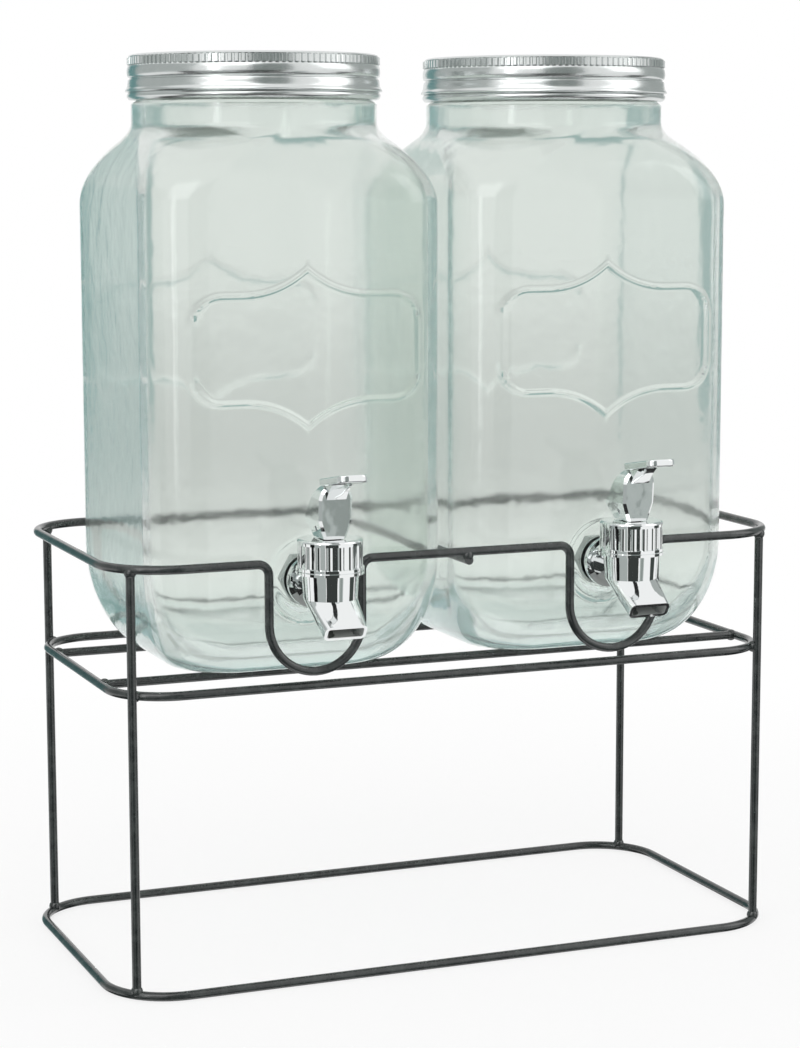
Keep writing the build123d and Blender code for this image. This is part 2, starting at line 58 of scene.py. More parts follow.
# Where the photograph was taken from, and its lens in pixels
CAMERA_PLACE = (-0.4556, -1.1294, 0.3636)
CAMERA_DOWN = 8.02
CAMERA_TURN = -21.96
CAMERA_ROLL = -0.12
PHOTO_HEIGHT = 1048
FOCAL_PIXELS = 2600
SENSOR = 36.0

# Glass jar: square with round corners, a curved heel, a shoulder and a round neck
CORNER_R = 0.024
BASE_HALF = 0.044
BASE_FLAT = 0.018
BASE_THICKNESS = 0.009
FOOT_INSET = 0.006
FOOT_FLAT = 0.0126
KICK_UP_R = 0.030
KICK_UP_DEPTH = 0.002
GLASS_WALL = 0.0045
HEEL = 0.049
BODY_TOP = 0.2056
SHOULDER = 0.033
SLOPE_END_SHARE = 0.88
HOLLOW_HEIGHT = 0.0042
SHOULDER_ROW_COUNT = 28
HOLLOW_ROW_COUNT = 10
NECK_R = 0.0554
FINISH_R = 0.0536
FINISH_HEIGHT = 0.019
BORE_R = 0.0494
FINISH_STEP = 0.0005
RIM_ROUND = 0.0014
RIM_TURN_STEP = pi / 10
POLE_R = 0.0005

# Screw thread on the neck
THREAD_PITCH = 0.0064
THREAD_STAND = 0.0012
THREAD_HALF = 0.0019
THREAD_TURNS = 1.6
THREAD_FADE_TURNS = 0.125
THREAD_LOW = 0.004

# Raised outline on the front and back of the glass
PANEL_WIDTH = 0.104
PANEL_HEIGHT = 0.046
PANEL_PEAK_RISE = 0.011
PANEL_PEAK_WIDTH = 0.056
PANEL_PEAK_SAG = 0.0026
PANEL_CORNER_R = 0.013
PANEL_MIDDLE = 0.1454
PANEL_LINE_HALF = 0.0018
PANEL_LINE_STAND = 0.0009
PANEL_SAMPLE = 0.0004
PANEL_FACING = 0.5

# Boss and hole for the tap
TAP_HEIGHT = 0.0441
BOSS_R = 0.018
BOSS_BLEND = 0.0022
BOSS_STAND = 0.0008
POCKET_R = 0.013
HOLE_R = 0.008
HOLE_OUTSIDE = 0.0045
HOLE_INSIDE = 0.0135
HOLE_SIDES = 64

# How finely the glass is divided
FACE_STEP = 0.0007
CORNER_COLUMNS = 26
SIDE_STEP = 0.004
PANEL_ROW_STEP = 0.0006
PLAIN_ROW_STEP = 0.003
BOSS_ROW_STEP = 0.0009
THREAD_ROW_STEP = 0.0006
SHARP_ANGLE = 38.0


def mesh_object(name, points, faces):
    """A new smooth object from points and faces, in the row's frame, sharp only at hard edges."""
    mesh = bpy.data.meshes.new(name)
    mesh.from_pydata([tuple(point) for point in points], [], faces)
    mesh.update()
    mesh.shade_smooth()
    mesh.set_sharp_from_angle(angle=radians(SHARP_ANGLE))
    thing = bpy.data.objects.new(name, mesh)
    bpy.context.scene.collection.objects.link(thing)
    return thing


def steps(start, stop, step):
    """Evenly spaced values from start to stop, about one step apart."""
    return np.linspace(start, stop, max(2, round(abs(stop - start) / step) + 1))


def smooth_step(value):
    """A soft 0 to 1 ramp."""
    held = np.clip(value, 0.0, 1.0)
    return held * held * (3.0 - 2.0 * held)


# Materials: scales are cells per metre, and a relief is its strength and its height
NOISE_RANGE = (0.3, 0.7)
GLASS_IOR = 1.5
GLASS_COLOUR = (0.925, 0.942, 0.916)
GLASS_ROUGHNESS = 0.09
GLASS_WAVE_SCALE = 34.0
GLASS_WAVES = (0.24, 0.0016)
GLASS_TINT = (0.42, 0.82, 0.78)
GLASS_TINT_DENSITY = 11.0
TRAPPED_SHARE_OUT = 0.6
CHROME_COLOUR = (0.84, 0.86, 0.86)
CHROME_GRAIN_SCALE = 900.0
CHROME_ROUGHNESS = (0.02, 0.07)
CHROME_WAVE_SCALE = 140.0
CHROME_WAVES = (0.2, 0.0004)
WIRE_PATCH_SCALE = 150.0
WIRE_PATCH_RANGE = (0.42, 0.7)
WIRE_DARK = (0.013, 0.017, 0.017)
WIRE_WORN = (0.042, 0.050, 0.048)
WIRE_ROUGH_RANGE = (0.35, 0.7)
WIRE_ROUGHNESS = (0.13, 0.24)
WIRE_SPECULAR = 0.85
WIRE_GRAIN_SCALE = 1300.0
WIRE_GRAIN = (0.12, 0.0003)
TINPLATE_GRAIN_SCALE = 260.0
TINPLATE_DARK = (0.66, 0.685, 0.68)
TINPLATE_LIGHT = (0.71, 0.735, 0.73)
TINPLATE_ROUGHNESS = (0.2, 0.25)
MOTTLE_DARK_SHARE = 0.86
MOTTLE_ROUGHNESS_SHARES = (0.85, 1.15)
MOTTLE_RELIEF = (0.06, 0.0002)

# The spout's mouth, and how squarely a face looks inwards to count as its lining
MOUTH_HALF_DEPTH = 0.0037
LINING_FACING = 0.4


def new_material(name):
    """A node material, its tree and its shader."""
    material = bpy.data.materials.new(name)
    material.use_nodes = True
    tree = material.node_tree
    return material, tree, tree.nodes["Principled BSDF"]


def noise(tree, scale, detail=4.0, roughness=0.5):
    """Noise over the object's own coordinates, with its scale in cells per metre."""
    place = tree.nodes.new("ShaderNodeTexCoord")
    made = tree.nodes.new("ShaderNodeTexNoise")
    made.inputs["Scale"].default_value = scale
    made.inputs["Detail"].default_value = detail
    made.inputs["Roughness"].default_value = roughness
    tree.links.new(place.outputs["Object"], made.inputs["Vector"])
    return made.outputs["Fac"]


def spread(tree, value, from_range, to_range):
    """A value mapped from one range to another, and held inside it."""
    made = tree.nodes.new("ShaderNodeMapRange")
    made.inputs["From Min"].default_value, made.inputs["From Max"].default_value = from_range
    made.inputs["To Min"].default_value, made.inputs["To Max"].default_value = to_range
    tree.links.new(value, made.inputs["Value"])
    return made.outputs["Result"]


def relief(tree, shader, height, strength, distance):
    """Fine relief on a shader from a height field."""
    made = tree.nodes.new("ShaderNodeBump")
    made.inputs["Strength"].default_value = strength
    made.inputs["Distance"].default_value = distance
    tree.links.new(height, made.inputs["Height"])
    tree.links.new(made.outputs["Normal"], shader.inputs["Normal"])


def between(tree, factor, first, second):
    """A colour that runs from the first to the second with a factor."""
    made = tree.nodes.new("ShaderNodeMix")
    made.data_type = "RGBA"
    first_socket, second_socket = [s for s in made.inputs if s.type == "RGBA"]
    first_socket.default_value = (*first, 1.0)
    second_socket.default_value = (*second, 1.0)
    tree.links.new(factor, made.inputs["Factor"])
    return next(s for s in made.outputs if s.type == "RGBA")


def combine(tree, operation, first, second):
    """One value from two, of which the second may be a number."""
    made = tree.nodes.new("ShaderNodeMath")
    made.operation = operation
    tree.links.new(first, made.inputs[0])
    if isinstance(second, float):
        made.inputs[1].default_value = second
    else:
        tree.links.new(second, made.inputs[1])
    return made.outputs["Value"]


def let_trapped_light_out(tree, shader):
    """Lets out part of the light that total reflection holds in the glass, as its waves and seeds do."""
    fresnel = tree.nodes.new("ShaderNodeFresnel")
    fresnel.inputs["IOR"].default_value = GLASS_IOR
    side = tree.nodes.new("ShaderNodeNewGeometry")
    trapped = combine(tree, "MULTIPLY", fresnel.outputs["Fac"], side.outputs["Backfacing"])
    clear = tree.nodes.new("ShaderNodeBsdfTransparent")
    mix = tree.nodes.new("ShaderNodeMixShader")
    tree.links.new(combine(tree, "MULTIPLY", trapped, TRAPPED_SHARE_OUT), mix.inputs["Fac"])
    tree.links.new(shader.outputs["BSDF"], mix.inputs[1])
    tree.links.new(clear.outputs["BSDF"], mix.inputs[2])
    tree.links.new(mix.outputs["Shader"], tree.nodes["Material Output"].inputs["Surface"])


def glass_material():
    """Clear pressed glass: slightly wavy, with a pale green body and a bluer tint where it is thick."""
    material, tree, shader = new_material("pressed_glass")
    shader.inputs["Base Color"].default_value = (*GLASS_COLOUR, 1.0)
    shader.inputs["Transmission Weight"].default_value = 1.0
    shader.inputs["Roughness"].default_value = GLASS_ROUGHNESS
    shader.inputs["IOR"].default_value = GLASS_IOR
    relief(tree, shader, noise(tree, GLASS_WAVE_SCALE, detail=3.0), *GLASS_WAVES)
    let_trapped_light_out(tree, shader)
    tint = tree.nodes.new("ShaderNodeVolumeAbsorption")
    tint.inputs["Color"].default_value = (*GLASS_TINT, 1.0)
    tint.inputs["Density"].default_value = GLASS_TINT_DENSITY
    tree.links.new(tint.outputs["Volume"], tree.nodes["Material Output"].inputs["Volume"])
    return material


def chrome_material():
    """Bright chrome on a moulding, a little uneven."""
    material, tree, shader = new_material("chrome_plating")
    shader.inputs["Base Color"].default_value = (*CHROME_COLOUR, 1.0)
    shader.inputs["Metallic"].default_value = 1.0
    rough = spread(tree, noise(tree, CHROME_GRAIN_SCALE), NOISE_RANGE, CHROME_ROUGHNESS)
    tree.links.new(rough, shader.inputs["Roughness"])
    relief(tree, shader, noise(tree, CHROME_WAVE_SCALE, detail=1.0), *CHROME_WAVES)
    return material


def wire_material():
    """Charcoal paint on drawn wire, with paler, duller patches."""
    material, tree, shader = new_material("painted_wire")
    patches = noise(tree, WIRE_PATCH_SCALE, detail=6.0, roughness=0.65)
    worn = spread(tree, patches, WIRE_PATCH_RANGE, (0.0, 1.0))
    tree.links.new(between(tree, worn, WIRE_DARK, WIRE_WORN), shader.inputs["Base Color"])
    rough = spread(tree, patches, WIRE_ROUGH_RANGE, WIRE_ROUGHNESS)
    tree.links.new(rough, shader.inputs["Roughness"])
    shader.inputs["Specular IOR Level"].default_value = WIRE_SPECULAR
    relief(tree, shader, noise(tree, WIRE_GRAIN_SCALE), *WIRE_GRAIN)
    return material


def lid_material():
    """Satin tinplate."""
    material, tree, shader = new_material("satin_tinplate")
    shader.inputs["Metallic"].default_value = 1.0
    grain = noise(tree, TINPLATE_GRAIN_SCALE, detail=3.0)
    tree.links.new(between(tree, grain, TINPLATE_DARK, TINPLATE_LIGHT), shader.inputs["Base Color"])
    tree.links.new(spread(tree, grain, NOISE_RANGE, TINPLATE_ROUGHNESS), shader.inputs["Roughness"])
    return material


def plain_material(name, colour, roughness, scale, metallic=0.0, clear=0.0):
    """Rubber, foam, plastic or steel with a faint mottle. Clear is the share of light that passes."""
    material, tree, shader = new_material(name)
    mottle = noise(tree, scale, detail=3.0)
    darker = tuple(MOTTLE_DARK_SHARE * channel for channel in colour)
    tree.links.new(between(tree, mottle, darker, colour), shader.inputs["Base Color"])
    rough = spread(tree, mottle, NOISE_RANGE, [share * roughness for share in MOTTLE_ROUGHNESS_SHARES])
    tree.links.new(rough, shader.inputs["Roughness"])
    shader.inputs["Metallic"].default_value = metallic
    shader.inputs["Transmission Weight"].default_value = clear
    relief(tree, shader, mottle, *MOTTLE_RELIEF)
    return material


MATERIALS = {
    "glass": glass_material(),
    "chrome": chrome_material(),
    "rack_wire": wire_material(),
    "lid_metal": lid_material(),
    "liner": plain_material("liner_foam", (0.82, 0.83, 0.80), 0.7, 500.0),
    "valve_plastic": plain_material("valve_plastic", (0.80, 0.81, 0.80), 0.3, 300.0),
    "seal_rubber": plain_material("seal_rubber", (0.16, 0.165, 0.165), 0.7, 600.0),
    "washer_rubber": plain_material("washer_rubber", (0.72, 0.76, 0.75), 0.5, 500.0),
    "nut_plastic": plain_material("nut_plastic", (0.93, 0.95, 0.94), 0.5, 300.0, clear=0.25),
    "steel": plain_material("spring_steel", (0.62, 0.63, 0.64), 0.25, 800.0, metallic=1.0),
}
SPOUT_LINING = plain_material("bare_plastic", (0.34, 0.36, 0.35), 0.5, 300.0)


def dress(thing, slot_name):
    """Gives a piece the material of its slot."""
    thing.data.materials.clear()
    thing.data.materials.append(MATERIALS[slot_name])


def dress_cad_nodes():
    """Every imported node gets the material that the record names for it."""
    for part in frame["record"]["subparts"]:
        dress(frame["nodes"][part["node"]], part["material_slot"])


def line_spout(side):
    """The inside of the spout isn't plated, so its faces get bare plastic."""
    body = frame["nodes"][f"{side}_tap_body"]
    low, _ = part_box(f"{side}_tap_body")
    seat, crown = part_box(f"{side}_tap_seal")
    start = Vector(((seat.x + crown.x) / 2, (seat.y + crown.y) / 2, seat.z))
    end = Vector((start.x, low.y + MOUTH_HALF_DEPTH, low.z + MOUTH_HALF_DEPTH))
    along = (end - start).normalized()
    body.data.materials.append(SPOUT_LINING)
    place = body.matrix_world
    for polygon in body.data.polygons:
        centre = place @ polygon.center
        if centre.z > start.z:
            continue
        away = centre - start
        outward = away - along * away.dot(along)
        if (place.to_3x3() @ polygon.normal).dot(outward.normalized()) < -LINING_FACING:
            polygon.material_index = 1


# Jar glass
def column_angles(half, flat):
    """Angles round the jar: fine across the front and back faces and corners, coarse at the sides."""
    face = np.arctan2(steps(-flat, flat, FACE_STEP), half)
    corner_start, corner_end = np.arctan2(flat, half), np.arctan2(half, flat)
    corner = np.linspace(corner_start, corner_end, CORNER_COLUMNS)
    side = pi / 2 - np.arctan2(steps(flat, -flat, SIDE_STEP), half)
    half_turn = np.concatenate([face[:-1], corner[:-1], side[:-1], corner[:-1] + pi / 2])
    return np.concatenate([half_turn, half_turn + pi]) - pi / 2


def round_square(angles, half, flat):
    """Distance from the centre to a square with round corners, at each angle."""
    cosine, sine = np.abs(np.cos(angles)), np.abs(np.sin(angles))
    larger, smaller = np.maximum(cosine, sine), np.minimum(cosine, sine)
    on_side = half * smaller / larger <= flat
    reach = flat * (cosine + sine)
    corner = reach + np.sqrt(np.maximum(reach**2 - 2 * flat**2 + (half - flat) ** 2, 0.0))
    return np.where(on_side, half / larger, corner)


def heel_rows(low, base_half, half, flat, rise):
    """(height, half, flat) up the curved heel."""
    angles = np.arccos(1.0 - steps(0.0, rise, BOSS_ROW_STEP) / rise)
    out = np.sin(angles)
    heights = low + rise * (1.0 - np.cos(angles))
    return list(zip(heights, base_half + (half - base_half) * out, BASE_FLAT + (flat - BASE_FLAT) * out))


def shoulder_rows(top, half, flat, neck):
    """(height, half, flat) over the sloping shoulder and through the hollow at the neck's foot."""
    share = np.linspace(0.0, SLOPE_END_SHARE, SHOULDER_ROW_COUNT)
    inwards = (half - neck) * share**2
    slope = np.stack([top + SHOULDER * share, half - inwards, flat * (1 - share**2)], axis=1)
    meets = (1 + SLOPE_END_SHARE**2) / (2 * SLOPE_END_SHARE)
    corner = np.array([top + SHOULDER * meets, neck, 0.0])
    end = corner + (HOLLOW_HEIGHT, 0.0, 0.0)
    along = np.linspace(0.0, 1.0, HOLLOW_ROW_COUNT)[1:, None]
    hollow = (1 - along) ** 2 * slope[-1] + 2 * along * (1 - along) * corner + along**2 * end
    return [tuple(row) for row in np.concatenate([slope, hollow])]


def round_rows(heights, radius):
    """(height, half, flat) of a round stretch."""
    return [(height, radius, 0.0) for height in heights]


def outside_rows(low, rim, half):
    """Stations from the middle of the base up the outside to the top of the rim."""
    top, flat = low + BODY_TOP, half - CORNER_R
    panel_low = low + PANEL_MIDDLE - PANEL_HEIGHT / 2 - PANEL_PEAK_RISE - PANEL_LINE_HALF
    panel_high = low + PANEL_MIDDLE + PANEL_HEIGHT / 2 + PANEL_PEAK_RISE + PANEL_LINE_HALF
    boss_high = low + TAP_HEIGHT + BOSS_R + BOSS_BLEND
    heights = [steps(low + HEEL, boss_high, BOSS_ROW_STEP), steps(boss_high, panel_low, PLAIN_ROW_STEP)]
    heights += [steps(panel_low, panel_high, PANEL_ROW_STEP), steps(panel_high, top, PLAIN_ROW_STEP)]
    rows = [(low + KICK_UP_DEPTH, POLE_R, 0.0), (low, KICK_UP_R, 0.0)]
    rows += [(low, BASE_HALF - FOOT_INSET, FOOT_FLAT)]
    rows += heel_rows(low, BASE_HALF, half, flat, HEEL)
    rows += [(height, half, flat) for height in np.concatenate([part[1:] for part in heights])][:-1]
    rows += shoulder_rows(top, half, flat, NECK_R)
    finish = rim - FINISH_HEIGHT
    rows += round_rows(steps(rows[-1][0], finish - RIM_ROUND / 2, PLAIN_ROW_STEP)[1:], NECK_R)
    rows += round_rows([finish], NECK_R - RIM_ROUND / 2)
    rows += round_rows(steps(finish + FINISH_STEP, rim - RIM_ROUND, THREAD_ROW_STEP), FINISH_R)
    turn = steps(0.0, pi / 2, RIM_TURN_STEP)[1:]
    rows += [(rim - RIM_ROUND * (1 - np.sin(a)), FINISH_R - RIM_ROUND * (1 - np.cos(a)), 0.0) for a in turn]
    return rows


def inside_rows(low, rim, half):
    """Stations from the top of the rim down the inside to the middle of the floor."""
    inner_half, flat = half - GLASS_WALL, half - CORNER_R
    top = low + BODY_TOP
    shoulder = shoulder_rows(top, inner_half, flat, BORE_R)
    floor = low + BASE_THICKNESS
    turn = steps(0.0, pi / 2, RIM_TURN_STEP)
    rows = [(rim - RIM_ROUND * (1 - np.cos(a)), BORE_R + RIM_ROUND * (1 - np.sin(a)), 0.0) for a in turn]
    rows += round_rows(steps(rim - RIM_ROUND, shoulder[-1][0], PLAIN_ROW_STEP)[1:-1], BORE_R)
    rows += shoulder[::-1]
    rows += [(height, inner_half, flat) for height in steps(top, low + HEEL, PLAIN_ROW_STEP)[1:-1]]
    rows += heel_rows(floor, BASE_HALF - GLASS_WALL, inner_half, flat, HEEL - BASE_THICKNESS)[::-1]
    rows += [(floor, KICK_UP_R, 0.0), (floor, POLE_R, 0.0)]
    return rows


def outline_points():
    """Points along the raised outline, as x and height from its middle."""
    half_width, half_height = PANEL_WIDTH / 2, PANEL_HEIGHT / 2
    foot, run = PANEL_PEAK_WIDTH / 2, PANEL_WIDTH / 2 - PANEL_CORNER_R
    peak = half_height + PANEL_PEAK_RISE
    chord = sqrt(foot**2 + PANEL_PEAK_RISE**2)
    share = steps(0.0, 1.0, PANEL_SAMPLE / chord)
    bow = 4 * PANEL_PEAK_SAG * share * (1 - share)
    ogee_x = foot * share - bow * PANEL_PEAK_RISE / chord
    ogee_z = peak - PANEL_PEAK_RISE * share - bow * foot / chord
    turn = steps(0.0, pi / 2, PANEL_SAMPLE / PANEL_CORNER_R)
    corner_x = run + PANEL_CORNER_R * np.sin(turn)
    corner_z = half_height - PANEL_CORNER_R * (1 - np.cos(turn))
    level, side = steps(foot, run, PANEL_SAMPLE), steps(half_height - PANEL_CORNER_R, 0.0, PANEL_SAMPLE)
    x = np.concatenate([ogee_x, level, corner_x, np.full(len(side), half_width)])
    z = np.concatenate([ogee_z, np.full(len(level), half_height), corner_z, side])
    quarters = [np.stack([sign_x * x, sign_z * z], axis=1) for sign_x in (-1, 1) for sign_z in (-1, 1)]
    return np.concatenate(quarters)


def raise_outline(grid, middle, half, flat):
    """Lifts the glass along the raised outline, on the front and the back."""
    outline = outline_points()
    reach = PANEL_HEIGHT / 2 + PANEL_PEAK_RISE + PANEL_LINE_HALF
    for row in grid:
        height = row[0, 2] - middle
        if abs(height) > reach:
            continue
        core = np.clip(row[:, :2], -flat, flat)
        outward = (row[:, :2] - core) / (half - flat)
        facing = np.abs(outward[:, 1]) > PANEL_FACING
        gaps = np.hypot(row[facing, 0, None] - outline[None, :, 0], height - outline[None, :, 1])
        nearest = gaps.min(axis=1) / PANEL_LINE_HALF
        lift = PANEL_LINE_STAND * smooth_step(1.0 - nearest)
        row[facing, :2] += outward[facing] * lift[:, None]


def flatten_boss(grid, tap_z, level, radius):
    """Brings the glass within a radius of the tap's axis to one level, on the front."""
    away = np.hypot(grid[..., 0], grid[..., 2] - tap_z)
    weight = smooth_step((radius + BOSS_BLEND - away) / BOSS_BLEND)
    weight[grid[..., 1] > 0] = 0.0
    grid[..., 1] += (level - grid[..., 1]) * weight


def raise_thread(grid, finish):
    """A screw thread round the finish of the neck, fading in and out."""
    angle = (np.arctan2(grid[..., 1], grid[..., 0]) / tau) % 1.0
    for turn in range(-1, round(THREAD_TURNS) + 1):
        along = turn + angle
        height = finish + THREAD_LOW + THREAD_PITCH * along
        fade = smooth_step(np.minimum(along, THREAD_TURNS - along) / THREAD_FADE_TURNS)
        near = np.abs(grid[..., 2] - height) / THREAD_HALF
        on_wall = np.abs(np.hypot(grid[..., 0], grid[..., 1]) - FINISH_R) < THREAD_STAND
        lift = THREAD_STAND * fade * smooth_step(1.0 - near) * on_wall
        grid[..., :2] *= (1 + lift / FINISH_R)[..., None]


def cut_hole(jar, centre_x, front_y, tap_z):
    """Drills the tap's hole through the front of the glass."""
    turn = np.arange(HOLE_SIDES) * tau / HOLE_SIDES
    across, up = HOLE_R * np.cos(turn), HOLE_R * np.sin(turn)
    depth = (front_y - HOLE_OUTSIDE, front_y + HOLE_INSIDE)
    points = [(centre_x + a, y, tap_z + b) for y in depth for a, b in zip(across, up)]
    faces = [tuple(range(HOLE_SIDES)), tuple(range(2 * HOLE_SIDES - 1, HOLE_SIDES - 1, -1))]
    for n in range(HOLE_SIDES):
        after = (n + 1) % HOLE_SIDES
        faces.append((n, n + HOLE_SIDES, after + HOLE_SIDES, after))
    drill = mesh_object("drill", points, faces)
    cut = jar.modifiers.new("hole", "BOOLEAN")
    cut.object, cut.operation, cut.solver = drill, "DIFFERENCE", "EXACT"
    drilled = bpy.data.meshes.new_from_object(jar.evaluated_get(bpy.context.evaluated_depsgraph_get()))
    jar.modifiers.clear()
    jar.data = drilled
    bpy.data.objects.remove(drill)


def skin_faces(row_count, column_count):
    """The faces of a closed skin of rings, from the cap on the first ring to the cap on the last."""
    starts = np.arange(row_count - 1)[:, None] * column_count
    next_starts = starts + column_count
    column, after = np.arange(column_count), (np.arange(column_count) + 1) % column_count
    corners = [starts + column, starts + after, next_starts + after, next_starts + column]
    faces = [tuple(quad) for quad in np.stack(corners, axis=-1).reshape(-1, 4).tolist()]
    last = (row_count - 1) * column_count
    faces += [tuple(range(column_count - 1, -1, -1)), tuple(range(last, last + column_count))]
    return faces


def make_jar(side):
    """One jar as a closed skin of glass, outside and inside."""
    nodes = [f"{side}_{name}" for name in GLASS_NODES]
    base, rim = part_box(nodes[0])[0].z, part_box(nodes[-1])[1].z
    low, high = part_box(f"{side}_jar_shoulder")
    half = (high.x - low.x) / 2
    flat = half - CORNER_R
    centre_x, centre_y = (low.x + high.x) / 2, (low.y + high.y) / 2
    angles = column_angles(half, flat)
    outer, inner = outside_rows(base, rim, half), inside_rows(base, rim, half)
    grid = np.empty((len(outer) + len(inner), len(angles), 3))
    for row, (height, row_half, row_flat) in zip(grid, outer + inner):
        reach = round_square(angles, row_half, row_flat)
        row[:, 0], row[:, 1], row[:, 2] = reach * np.cos(angles), reach * np.sin(angles), height
    tap_z = base + TAP_HEIGHT
    outside, inside = grid[:len(outer)], grid[len(outer):]
    raise_outline(outside, base + PANEL_MIDDLE, half, flat)
    flatten_boss(outside, tap_z, -(half + BOSS_STAND), BOSS_R)
    flatten_boss(inside, tap_z, -(half - GLASS_WALL), POCKET_R)
    raise_thread(outside, rim - FINISH_HEIGHT)
    points = grid.reshape(-1, 3) + (centre_x, centre_y, 0.0)
    jar = mesh_object(f"{side}_jar_skin", points, skin_faces(len(grid), len(angles)))
    cut_hole(jar, centre_x, centre_y - half, tap_z)
    dress(jar, "glass")
    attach(jar, f"{side}_jar")
    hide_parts(*nodes)


# Lid: its profile as (outward from the lid's own radius, down from its top), in metres
LID_R = 0.057
LID_WALL = 0.0014
LID_PLATE = 0.0008
LID_CURL_LIP = 0.0006
LID_TOP_ROWS = ((-0.0044, 0.0), (-0.0020, 0.0001), (-0.0012, 0.0004), (-0.0008, 0.0009))
LID_KNURL_TOP = 0.0012
LID_KNURL_LOW = 0.0047
LID_KNURL_STEP = 0.0002
LID_KNURL_COUNT = 120
LID_CREST_SHARES = (0.0, 0.45)
LID_VALLEY_SHARES = (0.6, 0.85)
LID_CREST = -0.0001
LID_VALLEY = -0.0009
LID_LOW_ROWS = (
    (-0.0006, 0.0050), (-0.0003, 0.0056), (-0.0001, 0.0066), (0.0, 0.0077), (-0.0001, 0.0088),
    (-0.0003, 0.0097), (-0.0006, 0.0101), (-0.0012, 0.0104), (-0.0012, 0.0109), (-0.0006, 0.0112),
    (-0.0004, 0.0117), (-0.0003, 0.0130), (-0.0001, 0.0142), (0.0003, 0.0151), (0.0008, 0.0157),
    (0.0009, 0.0162), (0.0006, 0.0166), (-0.0004, 0.0168), (-0.0006, 0.0170), (-0.0002, 0.0173),
    (0.0001, 0.0179), (0.0001, 0.0186), (-0.0002, 0.0193), (-0.0006, 0.0197),
)


def lid_rows(low, high):
    """(radius on a knurl's crest, radius in its valley, height) down a lid's outside and up its inside."""
    bore, crest, valley = LID_R - LID_WALL, LID_R + LID_CREST, LID_R + LID_VALLEY
    above = [(POLE_R, high)] + [(LID_R + out, high - drop) for out, drop in LID_TOP_ROWS]
    below = [(LID_R + out, high - drop) for out, drop in LID_LOW_ROWS]
    below += [(bore + LID_CURL_LIP, low), (bore, low + LID_CURL_LIP), (bore, high - LID_PLATE)]
    below += [(POLE_R, high - LID_PLATE)]
    top, foot = high - LID_KNURL_TOP, high - LID_KNURL_LOW
    knurl = [(valley, valley, top), (crest, valley, top - LID_KNURL_STEP)]
    knurl += [(crest, valley, foot + LID_KNURL_STEP), (valley, valley, foot)]
    return [(r, r, z) for r, z in above] + knurl + [(r, r, z) for r, z in below]


def make_lid(side):
    """A screw lid as a closed skin: short knurl, convex band, groove, flared band, bead and rolled edge."""
    low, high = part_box(f"{side}_lid_shell")
    centre_x, centre_y = (low.x + high.x) / 2, (low.y + high.y) / 2
    shares = LID_CREST_SHARES + LID_VALLEY_SHARES
    turn = (np.arange(LID_KNURL_COUNT)[:, None] + shares).ravel() * tau / LID_KNURL_COUNT
    on_crest = np.tile(np.isin(shares, LID_CREST_SHARES), LID_KNURL_COUNT)
    rows = lid_rows(low.z, high.z)
    points = []
    for crest, valley, height in rows:
        reach = np.where(on_crest, crest, valley)
        x, y = centre_x + reach * np.cos(turn), centre_y + reach * np.sin(turn)
        points += [(a, b, height) for a, b in zip(x, y)]
    faces = [tuple(reversed(face)) for face in skin_faces(len(rows), len(turn))]
    lid = mesh_object(f"{side}_lid_skin", points, faces)
    dress(lid, "lid_metal")
    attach(lid, f"{side}_lid")
    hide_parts(f"{side}_lid_shell")


def make_spring(side):
    """The closing spring as a steel piece of its own, attached to the jar's body."""
    packed = frame["nodes"][f"{side}_tap_spring"]
    spring = bpy.data.objects.new(f"{side}_spring_coil", packed.data.copy())
    spring.matrix_world = packed.matrix_world.copy()
    bpy.context.scene.collection.objects.link(spring)
    dress(spring, "steel")
    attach(spring, f"{side}_jar")
    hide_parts(f"{side}_tap_spring")
    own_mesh(spring)


# Studio: floor, world, lamps, cards and camera
FLOOR_SIZE = 12.0
FLOOR_DROP = 0.0002
FLOOR_COLOUR = (0.96, 0.96, 0.96)
FLOOR_ROUGHNESS = 0.9
FLOOR_SPECULAR = 0.1

# How white the floor looks from near to far, and how bright floor and world look through glass
FLOOR_FADE = (0.2, 0.6)
FLOOR_WHITE = (0.8, 1.0)
FLOOR_NEAR_FADE = (0.7, 2.0)
FLOOR_NEAR_LEVEL = (0.92, 0.62)
FLOOR_FAR_FADE = (2.0, 6.0)
FLOOR_FAR_LEVEL = (0.62, 0.86)
FLOOR_THROUGH_GLASS_SHARE = 0.8
THROUGH_GLASS_LEVEL = 0.86
WORLD_LEVEL = 0.76

# Lamps: place, size and power, all aimed at one point
LAMPS = {
    "key": ((-1.5, -1.6, 2.1), (2.2, 1.6), 14.0),
    "fill": ((1.6, -0.9, 1.2), (1.2, 1.4), 5.0),
    "side_strip": ((-1.5, -1.05, 0.55), (0.16, 1.1), 1.5),
}
LAMP_TARGET = (0.0, 0.0, 0.2)

